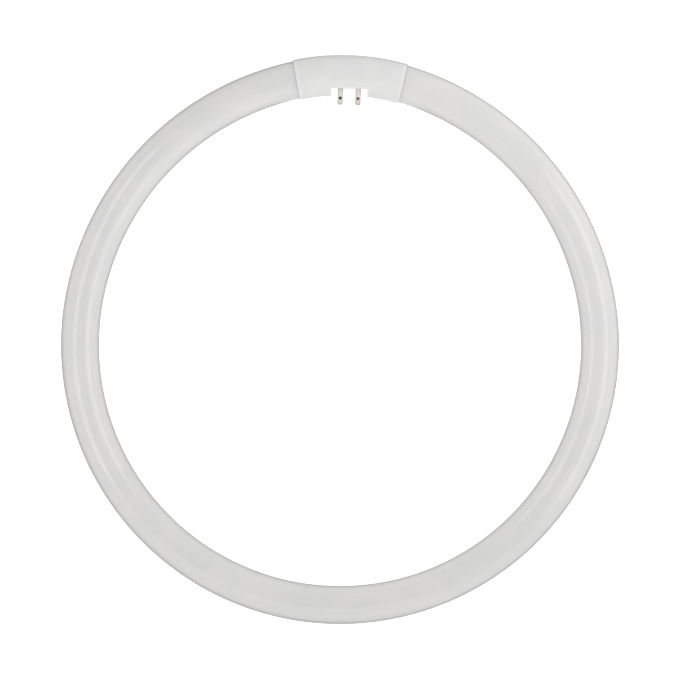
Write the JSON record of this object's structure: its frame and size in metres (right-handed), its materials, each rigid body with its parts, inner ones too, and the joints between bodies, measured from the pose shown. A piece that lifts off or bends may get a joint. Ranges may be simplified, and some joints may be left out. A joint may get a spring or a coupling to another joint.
{
  "type": "circular fluorescent tube",
  "caption": "Ring-shaped fluorescent tube of white coated glass, whose ends meet in a moulded cap with contact pins facing the middle of the ring.",
  "frame": {"origin": "middle of the ring's overall outline, on the ring's middle plane", "axes": "+Z is the ring's axis, up as it lies flat, and +Y points from the middle to the cap"},
  "size_m": [0.2482, 0.2532, 0.018],
  "materials": {
    "coated_glass": "clear glass, white inside from the phosphor coat, opaque when unlit",
    "cap_plastic": "satin white moulding",
    "pin_metal": "plated brass, dulled",
    "lead_metal": "plain plated wire"
  },
  "bodies": {
    "root": {"glass_tube": "coated_glass", "cap_front_shell": "cap_plastic", "cap_rear_shell": "cap_plastic", "pin_front_left": "pin_metal", "pin_front_right": "pin_metal", "pin_rear_left": "pin_metal", "pin_rear_right": "pin_metal", "lead_wire_front_left": "lead_metal", "lead_wire_front_right": "lead_metal", "lead_wire_rear_left": "lead_metal", "lead_wire_rear_right": "lead_metal"}
  },
  "joints": []
}
